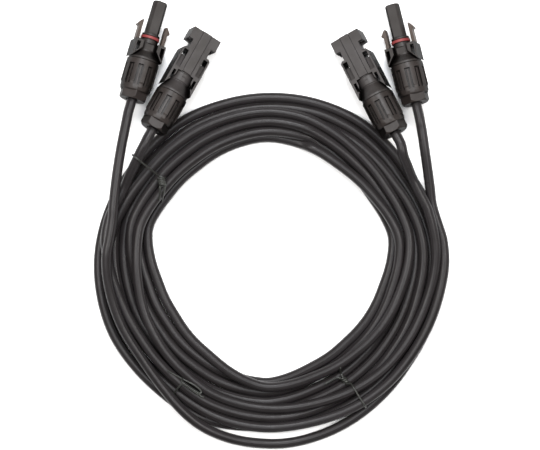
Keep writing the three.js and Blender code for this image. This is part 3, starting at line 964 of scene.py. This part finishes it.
def contact_spring():
    """The split spring that locks the contact in its bore."""
    ring = turned([(2.75, 33), (3.2, 33.6), (3.2, 35.4), (2.75, 36)], 0.08, 48)
    return cut(ring, block((-0.5, 32, 0), (0.5, 37, 5)))


def conductor():
    """Fine wires twisted together, where the jacket has been cut back."""
    wires = [(0, 0)] + [(0.4, 60 * k) for k in range(6)] + [(0.8, 30 * k) for k in range(12)]
    strand, start, end = 0.19, 21.1, 27.0
    parts = []
    for radius, degrees in wires:
        steps = np.linspace(0, 1, 14)
        angle = np.radians(degrees + 70 * steps)
        path = np.stack([radius * np.cos(angle), start + (end - start) * steps, radius * np.sin(angle)], 1)
        parts.append(tube("strand", path, strand, 8))
    with bpy.context.temp_override(active_object=parts[0], selected_editable_objects=parts):
        bpy.ops.object.join()
    return parts[0]


# ---------- assembly of the connectors ----------

PIECES = {
    "slim": [
        ("housing", slim_housing, "housing_plastic", "slim_housing"),
        ("latch_left", lambda: latch(-1), "housing_plastic", "latch"),
        ("latch_right", lambda: latch(1), "housing_plastic", "latch"),
        ("seal_ring", seal_ring, "red_seal", "red_seal"),
        ("socket_contact", socket_contact, "tinned_copper", "tin"),
    ],
    "sleeve": [
        ("housing", sleeve_housing, "housing_plastic", "housing"),
        ("pin_contact", pin_contact, "tinned_copper", "tin"),
    ],
    "both": [
        ("contact_spring", contact_spring, "spring_steel", "steel"),
        ("conductor", conductor, "tinned_copper", "tin"),
        ("gland_seal", gland_seal, "gland_rubber", "rubber"),
        ("gland_claw", claw, "claw_plastic", "claw"),
        ("gland_nut", nut, "nut_plastic", "nut"),
    ],
}


def body_of(node):
    bodies = frame["record"]["behaviour"]["bodies"]
    return next(body for body, nodes in bodies.items() if node in nodes)


def add_connectors():
    patterns = {}
    for kind, rows in PIECES.items():
        for row in rows:
            patterns[kind, row[0]] = smooth_shaded(row[1]())
    for connector in TURNED:
        kind = connector.split("_")[1]
        for source in (kind, "both"):
            for piece_name, _, slot, finish in PIECES[source]:
                pattern = patterns[source, piece_name]
                node = f"{connector}_{piece_name}"
                piece = add_object("fine_" + node, pattern.data.copy())
                if piece_name == "gland_nut":
                    spun(piece, NUT_TURN[connector])
                piece.data.transform(connector_place(connector))
                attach(piece, body_of(node))
                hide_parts(node)
                finished[piece.name] = finish
    for pattern in patterns.values():
        bpy.data.meshes.remove(pattern.data)


add_connectors()


# ---------- finishes ----------
# Every finish mixes two colours by a slow noise, varies its roughness, and has a fine grain.

# dark colour, light colour, roughness from and to, specular level, metallic, strength of the grain
FINISHES = {
    "housing": ((0.018, 0.0155, 0.0145), (0.027, 0.024, 0.024), (0.38, 0.48), 0.22, 0, 0.12),
    "slim_housing": ((0.015, 0.0125, 0.0115), (0.021, 0.0185, 0.0175), (0.38, 0.48), 0.18, 0, 0.12),
    "latch": ((0.034, 0.024, 0.019), (0.044, 0.033, 0.027), (0.42, 0.55), 0.2, 0, 0.12),
    "nut": ((0.0150, 0.0120, 0.0108), (0.0210, 0.0170, 0.0157), (0.34, 0.44), 0.18, 0, 0.12),
    "claw": ((0.020, 0.020, 0.020), (0.028, 0.028, 0.028), (0.45, 0.6), 0.2, 0, 0.12),
    "jacket": ((0.0080, 0.0068, 0.0068), (0.011, 0.0096, 0.0098), (0.27, 0.35), 0.13, 0, 0.16),
    "tie": ((0.010, 0.0102, 0.0092), (0.028, 0.029, 0.026), (0.26, 0.38), 0.3, 0, 0.04),
    "red_seal": ((0.115, 0.020, 0.020), (0.18, 0.031, 0.031), (0.36, 0.5), 0.2, 0, 0.04),
    "rubber": ((0.012, 0.012, 0.013), (0.020, 0.020, 0.021), (0.6, 0.75), 0.2, 0, 0.12),
    "tin": ((0.50, 0.48, 0.45), (0.66, 0.64, 0.60), (0.22, 0.36), 0.5, 1, 0.04),
    "steel": ((0.42, 0.43, 0.45), (0.56, 0.57, 0.59), (0.2, 0.32), 0.5, 1, 0.04),
}
JACKET_STREAK = (0.024, 0.022, 0.023)


def add_node(tree, kind, values=(), **settings):
    """A shader node, with its inputs filled or linked by name, and its settings."""
    node = tree.nodes.new("ShaderNode" + kind)
    for key, value in settings.items():
        setattr(node, key, value)
    for key, value in dict(values).items():
        if isinstance(value, bpy.types.NodeSocket):
            tree.links.new(value, node.inputs[key])
        else:
            node.inputs[key].default_value = value
    return node


def mixed(tree, share, dark, light):
    node = add_node(tree, "Mix", {0: share, 6: (*dark, 1), 7: (*light, 1)}, data_type="RGBA")
    return node.outputs[2]


def scaled(tree, colour, share):
    return add_node(tree, "VectorMath", {"Vector": colour, "Scale": share}, operation="SCALE").outputs[0]


def ranged(tree, value, start, end, low=0, high=1):
    """A value from one range carried over to another, and kept within it."""
    limits = {"From Min": start, "From Max": end, "To Min": low, "To Max": high}
    return add_node(tree, "MapRange", {"Value": value, **limits}).outputs[0]


def new_material(name):
    """A material with its node tree, its shader, and the place on the object to draw noise from."""
    material = bpy.data.materials.new(name)
    material.use_nodes = True
    tree = material.node_tree
    return material, tree, tree.nodes["Principled BSDF"], add_node(tree, "TexCoord").outputs["Object"]


def finish_material(name):
    dark, light, rough_range, shine, metallic, grain = FINISHES[name]
    material, tree, shader, place = new_material(name)
    slow = add_node(tree, "TexNoise", {"Vector": place, "Scale": 90, "Detail": 4})
    fine = add_node(tree, "TexNoise", {"Vector": place, "Scale": 2600, "Detail": 2})
    colour = mixed(tree, ranged(tree, slow.outputs[0], 0.35, 0.65), dark, light)
    rough_at = add_node(tree, "TexNoise", {"Vector": place, "Scale": 260, "Detail": 5})
    rough = ranged(tree, rough_at.outputs[0], 0.3, 0.7, *rough_range)
    height = fine.outputs[0]
    if name == "jacket":
        colour, height = jacket_streaks(tree, colour, height)
    bump = add_node(tree, "Bump", {"Height": height, "Strength": grain, "Distance": 0.0002})
    if name in ("housing", "slim_housing", "nut", "latch", "claw"):
        edges = add_node(tree, "Bevel", {"Radius": 0.00022}, samples=6)
        tree.links.new(edges.outputs[0], bump.inputs["Normal"])
    shader.inputs["Metallic"].default_value = metallic
    shader.inputs["Specular IOR Level"].default_value = shine
    # painted shade: the nut's colour is scaled down to a quarter in the bottoms of its grooves, where shade
    # falls
    if name == "nut":
        groove_unshaded = add_node(tree, "Attribute", attribute_name="groove_unshaded").outputs["Fac"]
        colour = scaled(tree, colour, ranged(tree, groove_unshaded, 0, 1, 0.25, 1))
    # painted shade: upright faces of the housings and the nut get a darker colour and a lower specular level
    # than level faces
    if name in ("housing", "slim_housing", "nut"):
        colour = painted_flank_shade(tree, colour, shine, shader)
    tree.links.new(colour, shader.inputs["Base Color"])
    tree.links.new(rough, shader.inputs["Roughness"])
    tree.links.new(bump.outputs[0], shader.inputs["Normal"])
    return material


def painted_flank_shade(tree, colour, shine, shader):
    """Paints shade on the upright faces: they are darker and duller than the level ones, as under light from
    above.
    """
    normal = add_node(tree, "TexCoord").outputs["Normal"]
    upwards = add_node(tree, "SeparateXYZ", {0: normal}).outputs[2]
    level = add_node(tree, "Math", {0: upwards}, operation="ABSOLUTE").outputs[0]
    share = ranged(tree, level, 0.42, 0.82, 0.16, 1)
    dulled = add_node(tree, "Math", {0: share, 1: shine}, operation="MULTIPLY").outputs[0]
    tree.links.new(dulled, shader.inputs["Specular IOR Level"])
    return scaled(tree, colour, share)


def jacket_streaks(tree, colour, height):
    """Faint lines along the jacket, left by the die it was drawn through."""
    uv = add_node(tree, "UVMap", uv_map="UVMap").outputs[0]
    stretched = add_node(tree, "Mapping", {"Vector": uv, "Scale": (40, 6, 1)}).outputs[0]
    lines = add_node(tree, "TexNoise", {"Vector": stretched, "Scale": 1, "Detail": 3})
    share = ranged(tree, lines.outputs[0], 0.4, 0.7)
    streaked = add_node(tree, "Mix", {0: share, 6: colour, 7: (*JACKET_STREAK, 1)}, data_type="RGBA")
    relief = add_node(tree, "Math", {0: lines.outputs[0], 1: height}, operation="ADD")
    return streaked.outputs[2], relief.outputs[0]


def floor_material():
    material, tree, shader, place = new_material("floor")
    slow = add_node(tree, "TexNoise", {"Vector": place, "Scale": 3, "Detail": 2})
    colour = mixed(tree, slow.outputs[0], (0.90, 0.90, 0.90), (0.92, 0.92, 0.92))
    tree.links.new(colour, shader.inputs["Base Color"])
    shader.inputs["Roughness"].default_value = 0.9
    shader.inputs["Specular IOR Level"].default_value = 0.1
    return material


def apply_finishes():
    materials = {name: finish_material(name) for name in FINISHES}
    for piece_name, finish in finished.items():
        mesh = bpy.data.objects[piece_name].data
        mesh.materials.clear()
        mesh.materials.append(materials[finish])


apply_finishes()


# ---------- floor and light ----------

def add_floor():
    reach = 3
    corners = [(-reach, -reach, 0), (reach, -reach, 0), (reach, reach, 0), (-reach, reach, 0)]
    mesh = bpy.data.meshes.new("floor")
    mesh.from_pydata([coil_centre + Vector(corner) for corner in corners], [], [(0, 1, 2, 3)])
    mesh.materials.append(floor_material())
    floor = add_object("floor", mesh)


def add_light(name, place, size, power, colour):
    """A square soft light that looks at the coil."""
    data = bpy.data.lights.new(name, "AREA")
    data.size = size
    data.energy = power
    data.color = colour
    light = add_object(name, data)
    light.location = coil_centre + Vector(place)
    light.rotation_euler = (-Vector(place)).to_track_quat("-Z", "Y").to_euler()


def add_surroundings():
    world = bpy.data.worlds.new("studio")
    world.use_nodes = True
    background = world.node_tree.nodes["Background"]
    background.inputs["Color"].default_value = (1, 0.99, 0.98, 1)
    background.inputs["Strength"].default_value = 0.2
    scene.world = world


add_floor()
add_light("overhead", (0, 0.1, 1.6), 0.6, 12, (0.94, 0.97, 1))
add_light("key", (0, 0.9, 1.3), 0.55, 26, (0.97, 0.98, 1))
add_light("side_left", (-0.8, 0.15, 1.35), 0.6, 18, (1, 0.97, 0.94))
add_light("side_right", (0.8, 0.15, 1.35), 0.6, 18, (1, 0.97, 0.94))
add_surroundings()
scene.view_settings.view_transform = "Standard"
